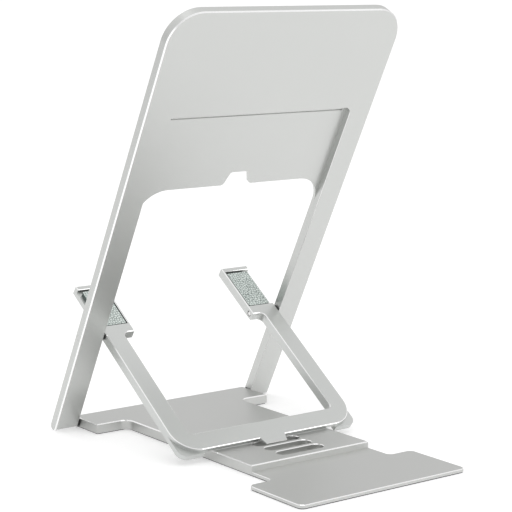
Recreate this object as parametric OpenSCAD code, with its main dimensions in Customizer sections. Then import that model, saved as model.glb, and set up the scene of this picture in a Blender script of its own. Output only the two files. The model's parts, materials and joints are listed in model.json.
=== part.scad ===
// Folding tablet stand: three aluminium plates of one thickness, hinged so that they nest in one plane.
// Frame: +Z up, X along the hinges, Y from the user to the front plate. Millimetres.
// Every plate is drawn flat, as it lies when the stand is folded, then turned to its open angle.
// Left and right are the user's: left is -X, right is +X.

/* [Plates] */
// Thickness of the folded stand and of each plate
plate_t = 5; // [4.8:0.1:6]
// Width of the back panel
panel_w = 130; // [126:1:140]
// Distance from the lower hinge to the panel's top edge
panel_len = 229.3; // [220:0.5:240]
// Radius of the panel's top corners
panel_corner_r = 16; // [8:1:24]
// Width of each panel leg
leg_w = 12.6; // [11:0.1:13]

/* [Panel window] */
// Distance from the lower hinge to the top of the window
window_top = 135.4; // [135:0.1:140]
// Radius of the window's upper corners
window_corner_r = 14; // [12:0.5:16]
// Distance from the lower hinge to the top of the rear recess
recess_top = 176.5; // [175:0.5:190]
// Thickness left at the tablet side of the recess, and of the bar that drops into the window
skin_t = 2; // [1.8:0.1:2.4]
// Radius of the recess's upper corners
recess_corner_r = 3.5; // [1:0.5:8]
// Depth of the tab's notch above the window
notch_len = 7; // [6:0.1:10]

/* [Prop frame] */
// Distance from the lower hinge to the prop frame's pivot, along the panel
pivot_up = 54.2; // [53:0.1:55]
// Distance from the pivot to the bar's free edge
prop_reach = 79.5; // [78.5:0.1:79.8]
// Distance from the pivot to the hooks' tips
hook_reach = 31.1; // [28:0.1:33]
// Gap between each plate's side and the panel's leg
side_gap = 0.9; // [0.8:0.05:1.2]
// Width of an arm
arm_w = 9.5; // [8:0.1:10]
// Width of a hook
hook_w = 16; // [14:0.1:16.4]
// Width of the cross bar along the arms
bar_w = 9.7; // [8:0.1:10]
// Length of the tab that drops into a slot
tab_len = 4; // [3:0.1:4.1]

/* [Base] */
// Thickness of the base's metal
base_t = 4.6; // [4.2:0.1:4.7]
// Length of the crossbar, from the hinge to its front edge
ear_len = 19; // [15:0.5:20]
// Width of the base's body
body_w = 67.8; // [60:0.2:69]
// Distance from the hinge to the step where the body gets thin
step_at = 120.8; // [118:0.2:122]
// Thickness of the neck and the front plate
thin_t = 1.6; // [1.2:0.1:1.7]
// Distance from the hinge to the front plate's rear edge
front_from = 135.9; // [135.6:0.1:137]
// Distance from the hinge to the front plate's front edge
front_to = 173; // [165:0.5:174]
// Width of the front plate
front_w = 94; // [86:0.5:100]
// Width of an angle slot, end to end
slot_w = 25.8; // [20:0.2:28]
// Length of an angle slot from its rear wall to its front wall
slot_len = 7; // [6:0.1:7.2]
// Distance from the hinge to the first slot's rear wall
slot_first = 90.6; // [90.4:0.1:91]
// Distance from one slot to the next
slot_pitch = 9.2; // [9:0.1:10]
// Depth of a slot
slot_depth = 2.8; // [2.4:0.1:3]

/* [Open pose] */
// Angle of the panel above the ground
lean = 62.25; // [62:0.05:62.5]
// Angle of the prop frame below level
prop_slope = 34.95; // [34.8:0.05:35.1]

/* [Hidden] */

half_t = plate_t / 2;
window_half = panel_w / 2 - leg_w;
inner_half = window_half - side_gap;       // half width of the base's crossbar and of the prop frame
foot_t = plate_t - base_t;
rear_y = -half_t;
origin_y = (front_to + rear_y) / 2;        // the model's origin is under the middle of the base
big = 400;
eps = 0.01;

// Back panel
notch_root_half = 7.6;
notch_top_half = 5;
notch_shoulder_r = 2;
notch_shoulder_in = 0.6;                   // the shoulders start this far inside the notch's root

// Prop frame
prop_skin_t = skin_t + 0.1;                // the frame's upper layer, with play under the panel's skin
bar_corner_r = window_corner_r - side_gap;
bar_gap_r = 2.5;
hook_fillet_r = 3;
ledge_out = 0.9;                           // the bar's lower corners stand out past the upper layer
ledge_corner_r = 4.5;
bar_relief_half = body_w / 2 + 4.6;        // the thin neck passes under the bar inside this half width
bar_relief_from = 12.5;
arm_inner = inner_half - arm_w;
hook_inner = inner_half - hook_w;
hook_from = 2.5;                           // from the pivot to the hook's front wall
tray_from = 3;                             // from the pivot to the pad's tray
lip_w = 2.6;
tray_rim = 0.9;
pad_t = 1.8;
pad_gap = 0.5;
pad_lip_gap = 1.2;
pad_side_gap = 1.9;                        // from the pad to the tray's open side
pad_r = 0.8;
tab_root_half = 7.6;
tab_tip_half = 6;
tab_edge_t = 0.45;                         // the tab's chisel underside ends in an edge this thick

// Pins
pin_r = 1.3;
pin_gap = 0.05;
bush_r = 1.6;
washer_r = 2.35;
washer_t = 0.75;
hinge_pin_in = 39;                         // inner ends, measured from the middle
hinge_pin_skin = 1.5;                      // the lower pins' holes end this far inside the leg's outer side
hinge_bore_in = 38.5;

// Base
ear_fillet_r = 5;
neck_fillet_r = 2.5;
front_corner_r = 3;
lead_out = 0.55;                           // the first slot's lead-out lets the tab out as it folds
lead_out_end = 0.05;
lead_out_side = 0.8;

// Anti-slip sheets and face strips
foot_inset = 0.3;
foot_r = 1;
foot_body_past = 14.5;                     // the body's sheet runs on under the neck
strip_t = 0.6;
strip_w = 9;
strip_len = 100;
strip_lower_y = 157;
strip_upper_y = 205;

// ---------- helpers ----------

// Rectangle from (x0, y0) to (x1, y1) with all its corners rounded
module round_rect(x0, x1, y0, y1, r) {
    translate([x0 + r, y0]) square([x1 - x0 - 2 * r, y1 - y0]);
    translate([x0, y0 + r]) square([x1 - x0, y1 - y0 - 2 * r]);
    for (x = [x0 + r, x1 - r], y = [y0 + r, y1 - r]) translate([x, y]) circle(r, $fn = 96);
}

// Filler for an inside corner at the origin, between the +X and +Y directions
module inside_corner(r) {
    difference() {
        translate([-eps, -eps]) square(r + eps);
        translate([r, r]) circle(r, $fn = 96);
    }
}

// A layer of a plate between two heights
module layer(z0, z1) {
    translate([0, 0, z0]) linear_extrude(z1 - z0) children();
}

module both_sides() {
    children();
    mirror([1, 0, 0]) children();
}

// A round bar along X from x0 to x1
module x_rod(x0, x1, r) {
    translate([x0, 0, 0]) rotate([0, 90, 0]) cylinder(h = x1 - x0, r = r, $fn = 96);
}

// ---------- places ----------

module at_base() {
    translate([0, -origin_y, half_t]) children();
}

module at_panel() {
    at_base() rotate([lean, 0, 0]) children();
}

module at_prop() {
    at_panel() translate([0, pivot_up, 0]) rotate([-(lean + prop_slope), 0, 0]) children();
}

// ---------- back panel ----------

module window_outline() {
    difference() {
        translate([-window_half, -big]) square([2 * window_half, big + window_top]);
        both_sides() translate([-window_half, window_top]) mirror([0, 1]) inside_corner(window_corner_r);
    }
    notch_outline();
}

// The tab's notch, narrower at its top, with rounded shoulders where it meets the window
module notch_outline() {
    polygon([
        [-notch_root_half, window_top - eps], [-notch_top_half, window_top + notch_len],
        [notch_top_half, window_top + notch_len], [notch_root_half, window_top - eps]
    ]);
    both_sides() translate([notch_root_half - notch_shoulder_in, window_top]) inside_corner(notch_shoulder_r);
}

module back_panel() {
    color("silver") at_panel() difference() {
        union() {
            layer(-half_t, half_t) difference() {
                round_rect(-panel_w / 2, panel_w / 2, -big, panel_len, panel_corner_r);
                translate([-big / 2, -2 * big]) square([big, 2 * big]);
            }
            both_sides() x_rod(window_half, panel_w / 2, half_t);
        }
        layer(-half_t - 1, half_t + 1) window_outline();
        layer(-half_t - 1, half_t - skin_t)
            round_rect(-window_half, window_half, 0, recess_top, recess_corner_r);
        both_sides() x_rod(window_half - 1, panel_w / 2 - hinge_pin_skin, pin_r);
        both_sides() translate([0, pivot_up, 0]) x_rod(window_half - 1, panel_w / 2 + 1, pin_r);
    }
}

// ---------- prop frame ----------

// The gap between the arms, with the hooks standing into it on the user's side of the pivot
module prop_gap_outline() {
    gap_end = prop_reach - bar_w;
    difference() {
        round_rect(-arm_inner, arm_inner, -big, gap_end, bar_gap_r);
        both_sides() translate([hook_inner, -big]) square([hook_w, big + hook_from]);
        both_sides() translate([arm_inner, hook_from]) mirror([1, 0]) inside_corner(hook_fillet_r);
    }
}

module prop_arms_outline(end, corner_r) {
    difference() {
        round_rect(-inner_half, inner_half, -big, end, corner_r);
        translate([-big / 2, -hook_reach - 2 * big]) square([big, 2 * big]);
        prop_gap_outline();
    }
}

// The tab: full width at the bar, with a chisel underside that ends in a thin edge
module tab() {
    intersection() {
        layer(half_t - skin_t, half_t) polygon([
            [-tab_root_half, prop_reach - 1], [-tab_root_half, prop_reach],
            [-tab_tip_half, prop_reach + tab_len], [tab_tip_half, prop_reach + tab_len],
            [tab_root_half, prop_reach], [tab_root_half, prop_reach - 1]
        ]);
        translate([-tab_root_half, 0, 0]) rotate([90, 0, 90]) linear_extrude(2 * tab_root_half) polygon([
            [prop_reach - 2, half_t - skin_t], [prop_reach, half_t - skin_t],
            [prop_reach + tab_len, half_t - tab_edge_t], [prop_reach + tab_len, half_t + 1],
            [prop_reach - 2, half_t + 1]
        ]);
    }
}

// The pad's tray: closed at its inner rim, the lip and the arm, and open at the outer side
module tray_cut() {
    layer(half_t - prop_skin_t, half_t + 1)
        translate([hook_inner + tray_rim, -hook_reach + lip_w])
            square([hook_w, hook_reach - lip_w - tray_from]);
}

module prop_frame() {
    color("silver") at_prop() difference() {
        union() {
            layer(half_t - prop_skin_t, half_t) prop_arms_outline(prop_reach, bar_corner_r);
            layer(-half_t, half_t - prop_skin_t) difference() {
                prop_arms_outline(prop_reach + ledge_out, ledge_corner_r);
                translate([-bar_relief_half, bar_relief_from]) square([2 * bar_relief_half, big]);
            }
            tab();
        }
        both_sides() tray_cut();
        both_sides() x_rod(hook_inner - 1, inner_half + 1, bush_r);
    }
}

module hook_pad(side) {
    color("darkseagreen") at_prop() scale([side, 1, 1])
        layer(half_t - prop_skin_t, half_t - prop_skin_t + pad_t)
            round_rect(
                hook_inner + tray_rim + pad_gap, inner_half - pad_side_gap,
                -hook_reach + lip_w + pad_lip_gap, -tray_from - pad_gap, pad_r
            );
}

// ---------- base ----------

module crossbar_outline() {
    translate([-inner_half, rear_y]) square([2 * inner_half, ear_len - rear_y]);
}

module base_body_outline() {
    crossbar_outline();
    translate([-body_w / 2, 0]) square([body_w, step_at]);
    both_sides() translate([body_w / 2, ear_len]) inside_corner(ear_fillet_r);
}

module front_outline() {
    translate([-body_w / 2, step_at - 2]) square([body_w, front_from - step_at + 6]);
    round_rect(-front_w / 2, front_w / 2, front_from, front_to, front_corner_r);
    both_sides() translate([body_w / 2, front_from]) mirror([0, 1]) inside_corner(neck_fillet_r);
}

// A slot with round ends, and a low lead-out on the first slot's front lip for the folding tab
module slot_cuts() {
    end_r = slot_len / 2;
    for (i = [0:2])
        layer(half_t - slot_depth, half_t + 1)
            round_rect(
                -slot_w / 2, slot_w / 2,
                slot_first + i * slot_pitch, slot_first + i * slot_pitch + slot_len, end_r - eps
            );
    lip_from = slot_first + slot_len;
    lip_to = slot_first + slot_pitch;
    lead_half = tab_root_half + lead_out_side;
    translate([-lead_half, 0, 0]) rotate([90, 0, 90]) linear_extrude(2 * lead_half) polygon([
        [lip_from - 1, half_t - lead_out], [lip_from, half_t - lead_out],
        [lip_to, half_t - lead_out_end], [lip_to, half_t + 1], [lip_from - 1, half_t + 1]
    ]);
}

module base_plate() {
    bottom = half_t - base_t;
    color("silver") at_base() difference() {
        union() {
            layer(bottom, half_t) base_body_outline();
            layer(bottom, bottom + thin_t) front_outline();
        }
        slot_cuts();
        both_sides() x_rod(hinge_bore_in, inner_half + 1, bush_r);
    }
}

// ---------- anti-slip sheets under the base ----------

module foot_sheet(x_half, y0, y1, r) {
    color("dimgray") at_base() layer(-half_t, half_t - base_t) round_rect(-x_half, x_half, y0, y1, r);
}

module foot_rear() {
    foot_sheet(inner_half - foot_inset, rear_y + foot_inset, ear_len - foot_inset, foot_r);
}

module foot_body() {
    foot_sheet(body_w / 2 - foot_inset, ear_len + foot_inset, step_at + foot_body_past, foot_r);
}

module foot_front() {
    foot_sheet(
        front_w / 2 - foot_inset, front_from + foot_inset, front_to - foot_inset, front_corner_r - foot_inset
    );
}

// ---------- strips on the panel's tablet side ----------

module face_strip(y) {
    color("darkseagreen") at_panel() layer(half_t, half_t + strip_t)
        round_rect(-strip_len / 2, strip_len / 2, y - strip_w / 2, y + strip_w / 2, strip_w / 2 - eps);
}

// ---------- pins, bushes and washers ----------

module hinge_pin(side) {
    color("gray") at_base() scale([side, 1, 1]) x_rod(hinge_pin_in, panel_w / 2 - hinge_pin_skin, pin_r);
}

module pivot_pin(side) {
    color("gray") at_prop() scale([side, 1, 1]) x_rod(hook_inner, panel_w / 2, pin_r);
}

// A thin sleeve pressed into the moving plate, in which the pin turns
module bush(x0) {
    color("lightgray") difference() {
        x_rod(x0, inner_half, bush_r);
        x_rod(x0 - 1, inner_half + 1, pin_r + pin_gap);
    }
}

module hinge_bush(side) {
    at_base() scale([side, 1, 1]) bush(hinge_bore_in);
}

module pivot_bush(side) {
    at_prop() scale([side, 1, 1]) bush(hook_inner);
}

// A thrust washer that sits on the pin against the panel's leg
module washer() {
    color("dimgray") difference() {
        x_rod(window_half - washer_t, window_half, washer_r);
        x_rod(window_half - washer_t - 1, window_half + 1, pin_r);
    }
}

module hinge_washer(side) {
    at_base() scale([side, 1, 1]) washer();
}

module pivot_washer(side) {
    at_prop() scale([side, 1, 1]) washer();
}

back_panel();
prop_frame();
base_plate();
hinge_pin(-1);  // hinge_pin_left
hinge_pin(1);  // hinge_pin_right
pivot_pin(-1);  // pivot_pin_left
pivot_pin(1);  // pivot_pin_right
hinge_bush(-1);  // hinge_bush_left
hinge_bush(1);  // hinge_bush_right
pivot_bush(-1);  // pivot_bush_left
pivot_bush(1);  // pivot_bush_right
hinge_washer(-1);  // hinge_washer_left
hinge_washer(1);  // hinge_washer_right
pivot_washer(-1);  // pivot_washer_left
pivot_washer(1);  // pivot_washer_right
hook_pad(-1);  // hook_pad_left
hook_pad(1);  // hook_pad_right
face_strip(strip_upper_y);  // face_strip_upper
face_strip(strip_lower_y);  // face_strip_lower
foot_rear();
foot_body();
foot_front();
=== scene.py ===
# %% [markdown]
# # A folding aluminium tablet stand
#
# The stand is three plates of one thickness that nest in one plane when it is folded: a tall back
# panel with a window, a U-shaped prop frame whose hooks carry the tablet, and a slotted base. This
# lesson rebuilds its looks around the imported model, which gives every hinge and every size.

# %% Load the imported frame
import json
import math

import bpy
import numpy as np
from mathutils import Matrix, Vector
from mathutils.geometry import tessellate_polygon


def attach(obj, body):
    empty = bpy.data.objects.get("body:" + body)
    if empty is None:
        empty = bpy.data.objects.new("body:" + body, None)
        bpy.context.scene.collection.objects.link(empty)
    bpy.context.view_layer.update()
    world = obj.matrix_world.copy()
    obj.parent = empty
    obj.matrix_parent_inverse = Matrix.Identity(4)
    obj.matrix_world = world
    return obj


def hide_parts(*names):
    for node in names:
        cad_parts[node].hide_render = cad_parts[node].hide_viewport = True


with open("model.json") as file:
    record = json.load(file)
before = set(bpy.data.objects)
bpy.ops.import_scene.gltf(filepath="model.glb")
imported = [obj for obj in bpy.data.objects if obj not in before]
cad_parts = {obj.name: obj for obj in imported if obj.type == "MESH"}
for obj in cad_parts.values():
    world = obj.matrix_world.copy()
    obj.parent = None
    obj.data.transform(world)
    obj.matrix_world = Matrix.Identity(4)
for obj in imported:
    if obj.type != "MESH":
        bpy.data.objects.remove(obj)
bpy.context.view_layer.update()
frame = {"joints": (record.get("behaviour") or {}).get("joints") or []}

MM = 0.001

# %% [markdown]
# ## Where the plates turn
#
# Each plate is easiest to draw lying flat, as in the folded stand, and then turned about its hinge.
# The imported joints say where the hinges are. Their ranges say how far each plate turns before it
# lies flat, so the open angles come from the frame too.

# %% The hinges and the open angles
joints = {joint["name"]: joint for joint in frame["joints"]}
hinge_at = np.array(joints["panel_fold"]["pos_m"])
pivot_at = np.array(joints["prop_swing"]["pos_m"])
lean = joints["panel_fold"]["range_deg"][1]
prop_slope = joints["prop_swing"]["range_deg"][1] - lean
pivot_up = float(np.linalg.norm(pivot_at - hinge_at) / MM)
print(f"the panel leans {lean} degrees, the prop frame slopes {prop_slope:.2f}, pivot {pivot_up:.1f} mm up")

# %% [markdown]
# ## Turning a flat plate to its place
#
# A place is an angle about X and an anchor point. All points of a piece go through it at once, as
# one matrix product, so the finished mesh holds its own position and its object stays at the origin.

# %% Three places, one for each plate
def place(points, angle, anchor):
    """Turns millimetre points about the X axis by angle degrees and moves them to the anchor, in metres."""
    c, s = math.cos(math.radians(angle)), math.sin(math.radians(angle))
    turn = np.array([[1, 0, 0], [0, c, -s], [0, s, c]])
    return np.asarray(points, float) @ turn.T * MM + anchor


PLACES = {
    "base": (0.0, hinge_at),
    "panel": (lean, hinge_at),
    "prop": (-prop_slope, pivot_at),
}
print("places:", ", ".join(PLACES))

# %% [markdown]
# ## Outlines with rounded corners
#
# A plate's outline is a short list of corners, each with a radius. At every corner two tangent
# points and a centre follow from the two sides, and the arc between them is a turning unit vector.
# A Bevel modifier could round the corners afterwards, but worked-out arcs keep the exact radius.

# %% Outline from corners and radii
ARC_STEPS = 16


def outline(corners):
    """A closed loop through corners (x, y, radius), anticlockwise round the material.

    With unit vectors a and b from a corner along its two sides and phi the angle between them, the
    arc starts radius / tan(phi / 2) along a, its centre lies radius / sin(phi / 2) along a + b, and
    its radius vector turns from one tangent point to the other by spherical interpolation."""
    table = np.array(corners, float)
    at, radius = table[:, :2], table[:, 2:3]
    a = np.roll(at, 1, 0) - at
    b = np.roll(at, -1, 0) - at
    a /= np.linalg.norm(a, axis=1, keepdims=True)
    b /= np.linalg.norm(b, axis=1, keepdims=True)
    phi = np.arccos(np.clip((a * b).sum(1, keepdims=True), -1, 1))
    middle = (a + b) / np.linalg.norm(a + b, axis=1, keepdims=True)
    centre = at + middle * radius / np.sin(phi / 2)
    reach = radius / np.tan(phi / 2)
    first, last = at + a * reach - centre, at + b * reach - centre
    sweep = (math.pi - phi)[:, None, :]
    t = np.linspace(0, 1, ARC_STEPS)[None, :, None]
    turned = (np.sin((1 - t) * sweep) * first[:, None] + np.sin(t * sweep) * last[:, None]) / np.sin(sweep)
    loop = (centre[:, None] + turned).reshape(-1, 2)
    apart = np.linalg.norm(loop - np.roll(loop, 1, 0), axis=1) > 1e-6
    return loop[apart]


def both_halves(right_half):
    """A symmetric outline from its right half, which runs from the lowest corner to the highest."""
    return outline(right_half + [(-x, y, r) for x, y, r in reversed(right_half)])


def box_loop(x0, x1, y0, y1, radius=0.0):
    """A rectangle with four equal corner radii."""
    return outline([(x0, y0, radius), (x1, y0, radius), (x1, y1, radius), (x0, y1, radius)])


print("a rounded rectangle has", len(box_loop(0, 4, 0, 2, 0.5)), "points")

# %% [markdown]
# ## Solids with diamond-cut edges
#
# The real plates are machined, and a diamond cutter leaves a narrow bright chamfer along every
# edge. A Bevel modifier would catch hidden edges as well, so the chamfer is part of the profile:
# the outline is repeated at several heights, each pulled in or pushed out by its own amount.

# %% Inset, ring stack and prism
def inset(loop, depth):
    """Moves every side of a loop to its left by depth: a corner moves by depth * (n0 + n1) / (1 + n0.n1)."""
    along = np.roll(loop, -1, 0) - loop
    along /= np.linalg.norm(along, axis=1, keepdims=True)
    after = np.stack([-along[:, 1], along[:, 0]], 1)
    before = np.roll(after, 1, 0)
    return loop + depth * (before + after) / (1 + (before * after).sum(1, keepdims=True))


def add_piece(name, points, faces):
    """A mesh object from millimetre points and faces, still lying flat."""
    mesh = bpy.data.meshes.new(name)
    mesh.from_pydata(np.asarray(points).tolist(), [], faces)
    piece = bpy.data.objects.new(name, mesh)
    bpy.context.collection.objects.link(piece)
    return piece


def end_cap(ring, first, upward):
    """Triangles that fill a flat ring of points, numbered from first and facing up or down."""
    corners = np.array(tessellate_polygon([[Vector(p) for p in ring.tolist()]]))
    at = ring[corners]
    facing = np.cross(at[:, 1] - at[:, 0], at[:, 2] - at[:, 0])[:, 2] > 0
    corners[facing != upward] = corners[facing != upward][:, ::-1]
    return (corners + first).tolist()


def prism(name, loop, levels):
    """A closed solid: the loop at each (height, inset) level, joined by quads, with both ends filled."""
    n, rows = len(loop), len(levels)
    rings = [np.column_stack([inset(loop, d), np.full(n, float(z))]) for z, d in levels]
    i, row = np.meshgrid(np.arange(n), np.arange(rows - 1))
    j = (i + 1) % n
    sides = np.stack([row * n + i, row * n + j, (row + 1) * n + j, (row + 1) * n + i], -1).reshape(-1, 4)
    ends = end_cap(rings[0], 0, False) + end_cap(rings[-1], (rows - 1) * n, True)
    return add_piece(name, np.concatenate(rings), sides.tolist() + ends)


def slab(name, loop, z0, z1, low, high):
    """A plate between two heights, with a chamfer of its own at the lower and the upper edge."""
    levels = [(z0, low), (z0 + low, 0)] if low else [(z0, 0)]
    levels += [(z1 - high, 0), (z1, high)] if high else [(z1, 0)]
    return prism(name, loop, levels)


print("a chamfered slab has four rings")

# %% [markdown]
# ## Cutting and joining
#
# Windows, recesses and slots are cut with a Boolean modifier. The cutter flares out at the face it
# goes through, so the same cut leaves the bright chamfer round the hole. Each result is applied at
# once and stays a closed mesh.

# %% Boolean helpers
OVER = 0.4  # how far a cutter stands out of the face it cuts


def points_of(piece):
    """The piece's points as an array."""
    flat = np.empty(len(piece.data.vertices) * 3)
    piece.data.vertices.foreach_get("co", flat)
    return flat.reshape(-1, 3)


def move_points(piece, points):
    """Writes new points into the piece."""
    piece.data.vertices.foreach_set("co", np.asarray(points, float).ravel())
    piece.data.update()


def combine(piece, other, kind):
    """Applies a Boolean of another solid to a piece and deletes the other solid."""
    tool = piece.modifiers.new("combine", "BOOLEAN")
    tool.operation, tool.solver, tool.object = kind, "EXACT", other
    done = bpy.data.meshes.new_from_object(piece.evaluated_get(bpy.context.evaluated_depsgraph_get()))
    piece.modifiers.remove(tool)
    piece.data = done
    bpy.data.objects.remove(other)


def carve(piece, loop, z0, z1, low=0.0, high=0.0):
    """Cuts a prism out of a piece, flared by low and high where it leaves through a face."""
    levels = [(z0 - OVER, -(low + OVER)), (z0 + low, 0)] if low else [(z0, 0)]
    levels += [(z1 - high, 0), (z1 + OVER, -(high + OVER))] if high else [(z1, 0)]
    combine(piece, prism("cutter", loop, levels), "DIFFERENCE")


def rod(name, x0, x1, radius, y=0.0, chamfer=0.0, sides=64):
    """A round bar along X, y away from the hinge, with chamfered ends."""
    t = np.linspace(0, 2 * math.pi, sides, endpoint=False)
    ring = np.column_stack([radius * np.cos(t), radius * np.sin(t)])
    bar = slab(name, ring, x0, x1, chamfer, chamfer)
    across, up, along = points_of(bar).T
    move_points(bar, np.column_stack([along, across + y, up]))
    return bar


def drill(piece, x0, x1, radius, y=0.0):
    """A round hole along X."""
    combine(piece, rod("drill", x0, x1, radius, y), "DIFFERENCE")


print("cutters stand out by", OVER, "mm")

# %% [markdown]
# ## Finishes
#
# The plates are bead-blasted and anodised, so their metal is even and satin, with a grain much
# finer than a millimetre. The chamfers are cut afterwards and stay bright. Both are one metallic
# shader, and only the roughness, the tint and the grain differ.

# %% Node helper
def new_material(name):
    """A material, its shader, and functions that add a node and link a result to the shader."""
    material = bpy.data.materials.new(name)
    material.use_nodes = True
    tree = material.node_tree
    shader = tree.nodes["Principled BSDF"]

    def add(kind, inputs=(), **settings):
        node = tree.nodes.new(kind)
        for key, value in settings.items():
            setattr(node, key, value)
        for socket, value in inputs:
            if isinstance(value, bpy.types.NodeSocket):
                tree.links.new(value, node.inputs[socket])
            else:
                node.inputs[socket].default_value = value
        return node

    def link(output, socket):
        tree.links.new(output, shader.inputs[socket])

    return material, shader, add, link


# %% Blasted aluminium and its bright cut edge
def blasted_metal(name, tint, roughness):
    """Anodised aluminium: a faint cloudiness in tint and roughness, and a fine blasted grain as bump."""
    material, shader, add, link = new_material(name)
    here = add("ShaderNodeTexCoord").outputs["Object"]
    cloud = add("ShaderNodeTexNoise", [("Vector", here), ("Scale", 22.0), ("Detail", 3.0)]).outputs["Fac"]
    tone = add("ShaderNodeMapRange", [("Value", cloud), ("To Min", 0.98), ("To Max", 1.02)]).outputs["Result"]
    tinted = add("ShaderNodeVectorMath", [(0, tint), ("Scale", tone)], operation="SCALE").outputs["Vector"]
    link(tinted, "Base Color")
    rough = add("ShaderNodeMapRange", [
        ("Value", cloud), ("To Min", roughness - 0.02), ("To Max", roughness + 0.02)]).outputs["Result"]
    link(rough, "Roughness")
    grain = add("ShaderNodeTexNoise", [("Vector", here), ("Scale", 2600.0), ("Detail", 2.0)]).outputs["Fac"]
    link(add("ShaderNodeBump", [
        ("Strength", 0.25), ("Distance", 0.00003), ("Height", grain)]).outputs["Normal"], "Normal")
    shader.inputs["Metallic"].default_value = 1.0
    return material


def cut_edge_metal(name, tint):
    """A diamond-cut chamfer: nearly mirror bright, with faint tool marks."""
    material, shader, add, link = new_material(name)
    here = add("ShaderNodeTexCoord").outputs["Object"]
    marks = add("ShaderNodeTexNoise", [("Vector", here), ("Scale", 900.0), ("Detail", 1.0)]).outputs["Fac"]
    rough = add("ShaderNodeMapRange", [("Value", marks), ("To Min", 0.14), ("To Max", 0.2)]).outputs["Result"]
    link(rough, "Roughness")
    shader.inputs["Base Color"].default_value = (*tint, 1)
    shader.inputs["Metallic"].default_value = 1.0
    return material


panel_metal = blasted_metal("panel aluminium", (0.595, 0.603, 0.59), 0.38)
prop_metal = blasted_metal("prop aluminium", (0.6, 0.612, 0.6), 0.36)
base_metal = blasted_metal("base aluminium", (0.56, 0.565, 0.553), 0.38)
edge_metal = cut_edge_metal("cut edge aluminium", (0.96, 0.96, 0.96))
print("metals:", panel_metal.name, prop_metal.name, base_metal.name, edge_metal.name)

# %% Steel, nylon, silicone and rubber
def plain_finish(name, tint, roughness, metallic=0.0, grain_scale=1500.0, grain=0.0, distance=0.00005):
    """A plain finish whose roughness and surface vary a little at its own grain size."""
    material, shader, add, link = new_material(name)
    here = add("ShaderNodeTexCoord").outputs["Object"]
    grained = [("Vector", here), ("Scale", grain_scale), ("Detail", 2.0)]
    noise = add("ShaderNodeTexNoise", grained).outputs["Fac"]
    rough = add("ShaderNodeMapRange", [
        ("Value", noise), ("To Min", roughness - 0.04), ("To Max", roughness + 0.04)]).outputs["Result"]
    link(rough, "Roughness")
    if grain:
        link(add("ShaderNodeBump", [
            ("Strength", grain), ("Distance", distance), ("Height", noise)]).outputs["Normal"], "Normal")
    shader.inputs["Base Color"].default_value = (*tint, 1)
    shader.inputs["Metallic"].default_value = metallic
    return material


pin_steel = plain_finish("ground steel pin", (0.78, 0.78, 0.77), 0.25, 1.0)
bush_steel = plain_finish("ground steel bush", (0.55, 0.55, 0.55), 0.35, 1.0)
washer_nylon = plain_finish("black nylon washer", (0.03, 0.03, 0.03), 0.5)
pad_silicone = plain_finish("grained grey-green pad", (0.52, 0.6, 0.56), 0.62, grain=0.3)
foot_rubber = plain_finish("dark anti-slip sheet", (0.05, 0.05, 0.055), 0.7, grain=0.5)


def pebbled_finish_painted_shade(name, groove, crown, roughness):
    """Grained silicone, pale on the pebbles' crowns, with shade painted dark into the grooves and onto the cut
    sides.
    """
    material, shader, add, link = new_material(name)
    crest = add("ShaderNodeAttribute", attribute_name="crest").outputs["Fac"]
    # The ramp's dark end is painted shade in the grooves and on the pad's sides; its pale end is the silicone's
    # own colour.
    ramp = add("ShaderNodeValToRGB", [("Fac", crest)])
    ramp.color_ramp.elements[0].color, ramp.color_ramp.elements[0].position = (*groove, 1), 0.0
    ramp.color_ramp.elements[1].color, ramp.color_ramp.elements[1].position = (*crown, 1), 0.6
    link(ramp.outputs["Color"], "Base Color")
    shader.inputs["Roughness"].default_value = roughness
    return material


# Near black at the groove end: painted shade, not the silicone's colour.
pebbled_silicone_painted_shade = pebbled_finish_painted_shade("pebbled grey-green pad, painted shade", (0.08, 0.11, 0.1), (0.64, 0.7, 0.67), 0.5)
small = (pin_steel, bush_steel, washer_nylon, pad_silicone, foot_rubber, pebbled_silicone_painted_shade)
print("small finishes:", ", ".join(finish.name for finish in small))

# %% Finishing a piece: its edges, its place and its body
SHARP = math.radians(22)


def finish_piece(piece, where, body, node, material, edge=None):
    """Gives the sloping chamfer faces their bright finish, turns the piece to its place and hands it over."""
    mesh = piece.data
    mesh.materials.clear()
    mesh.materials.append(material)
    if edge:
        mesh.materials.append(edge)
        normals = np.empty(len(mesh.polygons) * 3)
        mesh.polygons.foreach_get("normal", normals)
        slope = np.abs(normals.reshape(-1, 3)[:, 2])
        mesh.polygons.foreach_set("material_index", ((slope > 0.3) & (slope < 0.95)).astype(np.int32))
    move_points(piece, place(points_of(piece), *PLACES[where]))
    mesh.shade_smooth()
    mesh.set_sharp_from_angle(angle=SHARP)
    piece.name = mesh.name = node + ".look"
    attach(piece, body)
    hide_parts(node)
    print(f"{piece.name}: {len(mesh.vertices)} points, {len(mesh.polygons)} faces")
    return piece


# %% [markdown]
# ## The back panel
#
# The panel is one plate with two legs. The window between the legs is open at the bottom, where the
# base sits, and a shallow recess above it takes the base's thin front plate. A fine relief groove in
# the recess's floor gives its upper border a dark line. A tapered notch in the window's top takes the
# prop frame's tab. The leg ends are round, because they turn beside the base.

# %% Sizes of the back panel, in millimetres
half_t = 2.5
panel_cut = 0.55        # depth of the polished chamfer on the panel's outer edge
cut = 0.45              # on the outer edges of the base
prop_cut = 0.32         # and of the prop frame
fine_cut = 0.3          # and on an inner edge
skin_t = 2.0            # what the recess leaves on the tablet's side
recess_cut = 0.12       # the recess's rim is only broken, not polished
groove_w, groove_deep, groove_at = 0.65, 0.6, 3.0   # the relief groove below the recess's top wall
panel_half, panel_len, panel_corner_r = 65.0, 229.3, 16.0
window_half, window_top, window_corner_r = 52.4, 135.4, 14.0
recess_top, recess_corner_r = 176.5, 3.5
notch_root_half, notch_top_half, notch_len = 7.5, 5.0, 7.0
pin_r, pin_fit = 1.3, 0.02
bush_r, bush_in_r, bush_fit = 1.6, 1.35, 0.02
washer_t, washer_r = 0.75, 2.35
print("panel:", 2 * panel_half, "by", panel_len + half_t, "mm")

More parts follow.
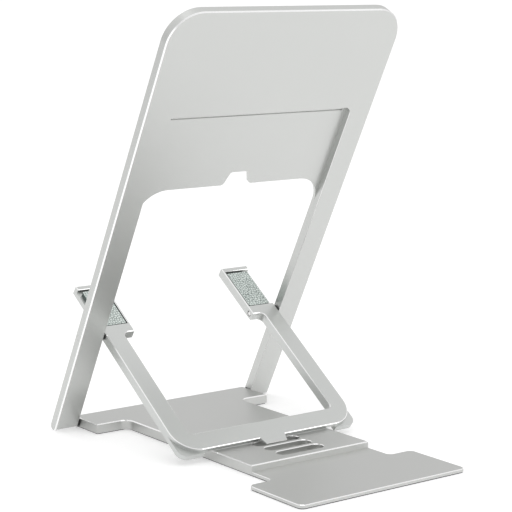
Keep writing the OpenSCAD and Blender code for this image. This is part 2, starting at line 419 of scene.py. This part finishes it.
# %% Back panel
def back_panel():
    """The plate, its rounded leg ends, and the window, notch, recess and pin holes cut out of it."""
    outer = both_halves([(panel_half, -9, 0), (panel_half, panel_len, panel_corner_r)])
    piece = slab("panel", outer, -half_t, half_t, panel_cut, panel_cut)
    combine(piece, prism("saw", box_loop(-80, 80, -20, 0), [(-9, 0), (9, 0)]), "DIFFERENCE")
    combine(piece, rod("leg ends", -panel_half, panel_half, half_t, chamfer=panel_cut), "UNION")
    floor_z = half_t - skin_t
    recess = both_halves([(window_half, -20, 0), (window_half, recess_top, recess_corner_r)])
    carve(piece, recess, -half_t, floor_z, low=recess_cut)
    groove_y = recess_top - groove_at
    groove = box_loop(-window_half + 2.5, window_half - 4.0, groove_y, groove_y + groove_w)
    carve(piece, groove, floor_z - 0.5, floor_z + groove_deep)
    window = both_halves([
        (window_half, -20, 0), (window_half, window_top, window_corner_r),
        (notch_root_half, window_top, 2.0), (notch_top_half, window_top + notch_len, 1.6)])
    carve(piece, window, -half_t, half_t, high=fine_cut)
    for side in (-1, 1):
        for x_end, y in ((panel_half - 1.5, 0.0), (panel_half + 1, pivot_up)):
            drill(piece, *sorted((side * (window_half - 1), side * x_end)), pin_r + pin_fit, y)
    return piece


finish_piece(back_panel(), "panel", "panel", "back_panel", panel_metal, edge_metal)

# %% [markdown]
# ## The prop frame
#
# Two arms and a bar make a U, and a hook stands out at the top of each arm to carry the tablet's
# edge. The bar steps down at its free edge so that it drops into the panel's window when folded,
# and its tab drops into one of the base's slots when the stand is open.

# %% Sizes of the prop frame
inner_half = 51.5
prop_skin = 2.1         # the upper layer, which alone crosses the base's neck
prop_reach, hook_reach = 79.5, 31.1
arm_inner, hook_inner, hook_from = 42.0, 35.5, 2.5
bar_from = 69.8
bar_corner_r, ledge_corner_r, ledge_out = 13.1, 4.5, 0.9
relief_half, relief_from = 38.5, 12.5
tab_root_half, tab_tip_half, tab_len, tab_edge = 7.6, 6.0, 4.0, 0.45
tray_from, tray_rim, lip_w, tray_cut = 3.0, 0.9, 2.6, 0.2
print("prop frame:", 2 * inner_half, "by", prop_reach + tab_len + hook_reach, "mm")

# %% Prop frame
def tab():
    """The tab, from the bar's edge to its tip, with a chisel underside: five-cornered ends, skewed outwards."""
    y0, y1, y2 = prop_reach - 2, prop_reach, prop_reach + tab_len
    top, low, c = half_t, half_t - skin_t, 0.3
    side = np.array([[y0, low], [y1, low], [y2, top - tab_edge], [y2, top - 0.12], [y2 - 0.12, top], [y0, top]])
    half = np.array([tab_root_half, tab_root_half, tab_tip_half, tab_tip_half, tab_tip_half, tab_root_half])
    left, right = (np.column_stack([s * half, side[:, 0], side[:, 1]]) for s in (-1, 1))
    i = np.arange(6)
    j = (i + 1) % 6
    faces = np.stack([i, j, j + 6, i + 6], 1).tolist() + [[5, 4, 3, 2, 1, 0], [6, 7, 8, 9, 10, 11]]
    return add_piece("tab", np.concatenate([right, left]), [f[::-1] for f in faces])


def prop_frame():
    """One slab, cut from above round the ledge, from below over the neck, and through between the arms."""
    outer = both_halves([(inner_half, -hook_reach, 0), (inner_half, prop_reach + ledge_out, ledge_corner_r)])
    piece = slab("prop", outer, -half_t, half_t, prop_cut, prop_cut)
    split = half_t - prop_skin
    ledge = outline([
        (60, 40, 0), (60, 90, 0), (-60, 90, 0), (-60, 40, 0), (-inner_half, 40, 0),
        (-inner_half, prop_reach, bar_corner_r), (inner_half, prop_reach, bar_corner_r), (inner_half, 40, 0)])
    carve(piece, ledge, split, half_t, high=prop_cut)
    combine(piece, tab(), "UNION")
    gap = both_halves([
        (hook_inner, -60, 0), (hook_inner, hook_from, 0), (arm_inner, hook_from, 3.0),
        (arm_inner, bar_from, 2.5)])
    carve(piece, gap, -half_t, half_t, prop_cut, prop_cut)
    carve(piece, box_loop(-relief_half, relief_half, relief_from, 100), -half_t, split, low=fine_cut)
    for side in (-1, 1):
        tray = sorted((side * (hook_inner + tray_rim), side * (inner_half + 3)))
        carve(piece, box_loop(*tray, -hook_reach + lip_w, -tray_from), split, half_t, high=tray_cut)
        x0, x1 = sorted((side * (hook_inner - 1), side * (inner_half + 1)))
        drill(piece, x0, x1, bush_r + bush_fit)
    return piece


finish_piece(prop_frame(), "prop", "prop", "prop_frame", prop_metal, edge_metal)

# %% [markdown]
# ## The base
#
# The base lies inside the folded stand: a crossbar that carries the lower hinges, a body with three
# angle slots, and beyond a step a thin neck and front plate that fit into the panel's recess.

# %% Sizes of the base
metal_low = -2.1        # the metal's underside; the anti-slip sheets fill the last 0.4 mm
thin_top = metal_low + 1.6
ear_len, ear_fillet_r = 19.0, 5.0
body_half, step_at = 33.9, 120.8
front_half, front_from, front_to, front_corner_r, neck_fillet_r = 47.0, 135.9, 173.0, 3.0, 2.5
slot_half, slot_len, slot_first, slot_pitch, slot_depth = 12.9, 7.0, 90.6, 9.2, 2.8
under_cut = 0.15
bush_from = 38.5        # how far from the middle the hinge bores begin
hair = 0.02             # keeps walls of two joined parts from lying exactly in one plane
print("base:", 2 * inner_half, "by", front_to + half_t, "mm")

# %% Base plate
def base_plate():
    """The thick part and the thin part joined, with the slots and the hinge bores cut out."""
    piece = slab("base", both_halves([
        (inner_half, -half_t, 0), (inner_half, ear_len, 0), (body_half, ear_len, ear_fillet_r),
        (body_half, step_at, 0)]), metal_low, half_t, under_cut, cut)
    thin = slab("thin", both_halves([
        (body_half - hair, step_at - 8, 0), (body_half - hair, front_from, neck_fillet_r),
        (front_half, front_from + hair, front_corner_r), (front_half, front_to, front_corner_r)]),
        metal_low + hair / 2, thin_top, under_cut, fine_cut)
    combine(piece, thin, "UNION")
    for i in range(3):
        y = slot_first + i * slot_pitch
        carve(piece, box_loop(-slot_half, slot_half, y, y + slot_len, slot_len / 2 - 0.01),
              half_t - slot_depth, half_t, high=fine_cut)
    for side in (-1, 1):
        x0, x1 = sorted((side * bush_from, side * (inner_half + 1)))
        drill(piece, x0, x1, bush_r + bush_fit)
    return piece


finish_piece(base_plate(), "base", "base", "base_plate", base_metal, edge_metal)

# %% [markdown]
# ## Pins, bushes and washers
#
# Every hinge is a short steel pin that is fixed in the panel's leg and turns in a thin steel bush, with
# a nylon washer against the leg. They are turned parts, so each is one profile carried round the X
# axis: the point (x, r) becomes (x, r cos t, r sin t).

# %% Turned pieces
def turned(name, profile, sides=64):
    """Carries a closed profile of (x, radius) points round the X axis; radius 0 closes an end at the axis."""
    profile = np.array(profile, float)
    solid = profile[0, 1] == 0
    rim = profile[1:-1] if solid else profile
    t = np.linspace(0, 2 * math.pi, sides, endpoint=False)
    x, r = rim[:, :1], rim[:, 1:]
    points = np.stack([x + 0 * t, r * np.cos(t), r * np.sin(t)], -1).reshape(-1, 3)
    rows = len(rim)
    row, i = np.meshgrid(np.arange(rows - 1 if solid else rows), np.arange(sides), indexing="ij")
    j, nxt = (i + 1) % sides, (row + 1) % rows
    quads = [row * sides + i, nxt * sides + i, nxt * sides + j, row * sides + j]
    faces = np.stack(quads, -1).reshape(-1, 4).tolist()
    if solid:
        k = np.arange(sides)
        points = np.concatenate([points, [[profile[0, 0], 0, 0], [profile[-1, 0], 0, 0]]])
        first, last, end = rows * sides, rows * sides + 1, (rows - 1) * sides
        faces += np.stack([k, (k + 1) % sides, np.full(sides, first)], 1).tolist()
        faces += np.stack([end + (k + 1) % sides, end + k, np.full(sides, last)], 1).tolist()
    return add_piece(name, points, faces)


def to_side(piece, side):
    """Mirrors a piece made for the right side to the left one, and keeps its faces outward."""
    if side < 0:
        move_points(piece, points_of(piece) * (-1, 1, 1))
        piece.data.flip_normals()
    return piece


def pin(x0, x1):
    """A pin with a slightly domed inner end; its outer end is ground flush with the leg."""
    return [(x1, 0), (x1, pin_r - 0.04), (x1 - 0.04, pin_r), (x0 + 0.35, pin_r),
            (x0 + 0.2, pin_r - 0.15), (x0 + 0.05, pin_r - 0.45), (x0, 0)]


def sleeve(x0, x1, inner, outer, c):
    """A ring section with chamfered corners."""
    return [(x0, inner), (x1, inner), (x1, outer - c), (x1 - c, outer), (x0 + c, outer), (x0, outer - c)]


# %% Flush pin ends
def blend_into_leg(piece):
    """Gives a pin's flush end the leg's own finish, because it is blasted together with the panel."""
    mesh = piece.data
    mesh.materials.append(panel_metal)
    centres = np.empty(len(mesh.polygons) * 3)
    mesh.polygons.foreach_get("center", centres)
    flush = np.abs(centres.reshape(-1, 3)[:, 0]) > (panel_half - 0.1) * MM
    mesh.polygons.foreach_set("material_index", flush.astype(np.int32))
    print(piece.name, "has", int(flush.sum()), "faces in the leg's finish")


# %% Four hinges
HINGES = {
    "hinge": ("base", bush_from + 0.5, panel_half - 1.5, bush_from),
    "pivot": ("prop", hook_inner, panel_half, hook_inner),
}
for hinge, (where, pin_from, pin_to, sleeve_from) in HINGES.items():
    for side, word in ((-1, "left"), (1, "right")):
        ring = sleeve(window_half - washer_t, window_half, pin_r + pin_fit, washer_r, 0.12)
        blend_into_leg(finish_piece(to_side(turned("pin", pin(pin_from, pin_to)), side),
                                    where, "panel", f"{hinge}_pin_{word}", pin_steel))
        finish_piece(to_side(turned("bush", sleeve(sleeve_from, inner_half, bush_in_r, bush_r, 0.08)), side),
                     where, where, f"{hinge}_bush_{word}", bush_steel)
        finish_piece(to_side(turned("washer", ring), side),
                     where, "panel", f"{hinge}_washer_{word}", washer_nylon)

# %% [markdown]
# ## The hook pads
#
# A pebbled silicone pad lies in each hook's tray. The pebbles are cells of a jittered grid: at each
# point the distances F1 and F2 to the two nearest cell centres are found, and F2 - F1 is the
# distance from the groove between two pebbles. The grooves are cut into the pad's top as geometry.
# The pad's finish paints shade into the grooves and onto the pad's sides.

# %% Pebbled pad
def pebbles(x, y, cell, seed):
    """1 on the pebbles and 0 in the grooves between them, from the cell distances F2 - F1."""
    random = np.random.default_rng(seed)
    jitter = random.uniform(0.1, 0.9, (64, 64, 2))
    tall = random.uniform(0.55, 1.0, (64, 64))
    u, v = x / cell, y / cell
    i, j = np.floor(u).astype(int), np.floor(v).astype(int)
    near, height = [], []
    for di in (-1, 0, 1):
        for dj in (-1, 0, 1):
            own = jitter[(i + di) % 64, (j + dj) % 64]
            near.append(np.hypot(i + di + own[..., 0] - u, j + dj + own[..., 1] - v))
            height.append(tall[(i + di) % 64, (j + dj) % 64])
    near, height = np.stack(near), np.stack(height)
    order = np.argsort(near, 0)
    f1, f2 = (np.take_along_axis(near, order[k:k + 1], 0)[0] for k in (0, 1))
    own = np.take_along_axis(height, order[:1], 0)[0]
    rise = np.clip((f2 - f1) / 0.35, 0, 1)
    return own * rise * rise * (3 - 2 * rise)


def grained_sheet(name, x0, x1, y0, y1, corner_r, z0, z1, grain, cell, step, seed, edge_r=0.15):
    """A closed sheet whose top is a fine grid lowered by up to grain between its pebbles.

    Points in the corner squares are pulled in from the square to the quarter disc: q becomes
    q * max(q) / |q|. The outermost rows turn down over a small round edge to a vertical skirt."""
    hx, hy = (x1 - x0) / 2, (y1 - y0) / 2
    nx, ny = round(2 * hx / step) + 1, round(2 * hy / step) + 1
    x, y = np.meshgrid(np.linspace(-hx, hx, nx), np.linspace(-hy, hy, ny), indexing="ij")
    q = np.stack([np.clip(np.abs(x) - hx + corner_r, 0, None), np.clip(np.abs(y) - hy + corner_r, 0, None)])
    size = np.hypot(*q)
    pull = np.where(size > 0, q.max(0) / np.where(size > 0, size, 1), 1)
    edge = np.minimum(hx - np.abs(x), hy - np.abs(y))
    x = np.sign(x) * (np.abs(x) - q[0] * (1 - pull))
    y = np.sign(y) * (np.abs(y) - q[1] * (1 - pull))
    roll = np.clip(1 - edge / edge_r, 0, 1)
    z = z1 - edge_r * (1 - np.sqrt(1 - roll ** 2)) - grain * (1 - pebbles(x, y, cell, seed)) * (roll < 0.3)
    top = np.stack([x + (x0 + x1) / 2, y + (y0 + y1) / 2, z], -1).reshape(-1, 3)
    at = np.arange(nx * ny).reshape(nx, ny)
    faces = np.stack([at[:-1, :-1], at[1:, :-1], at[1:, 1:], at[:-1, 1:]], -1).reshape(-1, 4).tolist()
    rim = np.concatenate([at[:, 0], at[-1, 1:], at[-2::-1, -1], at[0, -2:0:-1]])
    n, first = len(rim), nx * ny
    foot = top[rim].copy()
    foot[:, 2] = z0
    k = np.arange(n)
    faces += np.stack([rim, first + k, first + (k + 1) % n, rim[(k + 1) % n]], 1).tolist()
    faces.append((first + k[::-1]).tolist())
    piece = add_piece(name, np.concatenate([top, foot]), faces)
    # crest is 0 in the grooves, on the rolled edge and on the skirt, where the pad's finish paints shade.
    crest = np.concatenate([(pebbles(x, y, cell, seed) * (roll < 0.3)).ravel(), np.zeros(n)])
    piece.data.attributes.new("crest", "FLOAT", "POINT").data.foreach_set("value", crest.astype(np.float32))
    return piece


# %% Two hook pads
pad_gap, pad_side_gap, pad_lip_gap = 0.5, 1.9, 1.2    # clearances from the tray's rim, free side and lip
for side, word in ((-1, "left"), (1, "right")):
    pad = grained_sheet("pad", hook_inner + tray_rim + pad_gap, inner_half - pad_side_gap,
                        -hook_reach + lip_w + pad_lip_gap, -tray_from - pad_gap,
                        corner_r=0.8, z0=half_t - prop_skin, z1=2.2, grain=0.22, cell=1.35,
                        step=0.11, seed=7 + side)
    finish_piece(to_side(pad, side), "prop", "prop", f"hook_pad_{word}", pebbled_silicone_painted_shade)

# %% [markdown]
# ## Face strips and anti-slip sheets
#
# Two thin silicone strips on the panel keep the tablet off the metal, and three rubber sheets under
# the base keep the stand from sliding. They are cut sheets, so each is a plain outline with one
# edge eased: the strips' upper edge and the sheets' lower one.

# %% Face strips
for word, y in (("upper", 205.0), ("lower", 157.0)):
    strip = slab("strip", box_loop(-50, 50, y - 4.5, y + 4.5, 4.49), half_t, half_t + 0.6, 0, 0.15)
    finish_piece(strip, "panel", "panel", f"face_strip_{word}", pad_silicone)

# %% Anti-slip sheets
FEET = {
    "foot_rear": (inner_half - 0.3, -half_t + 0.3, ear_len - 0.3, 1.0),
    "foot_body": (body_half - 0.3, ear_len + 0.3, step_at + 14.5, 1.0),
    "foot_front": (front_half - 0.3, front_from + 0.3, front_to - 0.3, 2.7),
}
for node, (half, y0, y1, r) in FEET.items():
    sheet = slab("sheet", box_loop(-half, half, y0, y1, r), -half_t, metal_low, 0.1, 0)
    finish_piece(sheet, "base", "base", node, foot_rubber)

# %% [markdown]
# ## Floor, light and camera
#
# The stand is a metal object, so most of what it shows is its surroundings: a white floor, a white
# room that is a little darker low behind the stand, and two large soft lights.

# %% White floor
FLOOR_M = 60.0          # half the floor's side: its four points are written in metres
floor_points = np.array([[-1, -1, 0], [1, -1, 0], [1, 1, 0], [-1, 1, 0]]) * FLOOR_M
floor = add_piece("studio floor", floor_points, [(0, 1, 2, 3)])
floor_white, shader, add, link = new_material("floor white")
here = add("ShaderNodeTexCoord").outputs["Object"]
speckle = add("ShaderNodeTexNoise", [("Vector", here), ("Scale", 3.0)]).outputs["Fac"]
rough = add("ShaderNodeMapRange", [("Value", speckle), ("To Min", 0.88), ("To Max", 0.92)]).outputs["Result"]
link(rough, "Roughness")
shader.inputs["Base Color"].default_value = (0.8, 0.8, 0.8, 1)
shader.inputs["Emission Color"].default_value = (1, 1, 1, 1)
shader.inputs["Emission Strength"].default_value = 0.3
floor.data.materials.append(floor_white)

# %% Room light
world = bpy.data.worlds.new("white room")
bpy.context.scene.world = world
world.use_nodes = True
nodes, links = world.node_tree.nodes, world.node_tree.links
direction = nodes.new("ShaderNodeSeparateXYZ")
links.new(nodes.new("ShaderNodeTexCoord").outputs["Generated"], direction.inputs["Vector"])
rise_to_white = nodes.new("ShaderNodeMapRange")
for socket, value in (("From Min", 0.0), ("From Max", 0.55), ("To Min", 0.7), ("To Max", 0.95)):
    rise_to_white.inputs[socket].default_value = value
links.new(direction.outputs["Z"], rise_to_white.inputs["Value"])
links.new(rise_to_white.outputs["Result"], nodes["Background"].inputs["Strength"])
nodes["Background"].inputs["Color"].default_value = (1, 1, 1, 1)


def soft_light(name, at, towards, size, power):
    """A square area light."""
    lamp = bpy.data.lights.new(name, "AREA")
    lamp.size, lamp.energy = size, power
    light = bpy.data.objects.new(name, lamp)
    light.location = at
    light.rotation_euler = (Vector(towards) - Vector(at)).to_track_quat("-Z", "Y").to_euler()
    bpy.context.collection.objects.link(light)
    return light


soft_light("overhead softbox", (0.2, 0.3, 1.4), (0, 0, 0), 1.2, 3.0)
soft_light("low side softbox", (-0.95, 1.3, 0.4), (0, 0, 0.08), 0.8, 2.5)

# %% Camera
eye = bpy.data.cameras.new("camera")
eye.lens, eye.sensor_width = 121.97, 36.0
eye.clip_start, eye.clip_end = 0.05, 200.0
camera = bpy.data.objects.new("camera", eye)
turn, rise = math.radians(143.27), math.radians(9.1926)
back = Vector((math.sin(turn) * math.cos(rise), -math.cos(turn) * math.cos(rise), math.sin(rise)))
camera.location = (0.47773, 0.63361, 0.21967)
camera.rotation_euler = (-back).to_track_quat("-Z", "Y").to_euler()
bpy.context.collection.objects.link(camera)
bpy.context.scene.camera = camera
bpy.context.scene.view_settings.view_transform = "Standard"
print("camera at", tuple(round(v, 3) for v in camera.location))
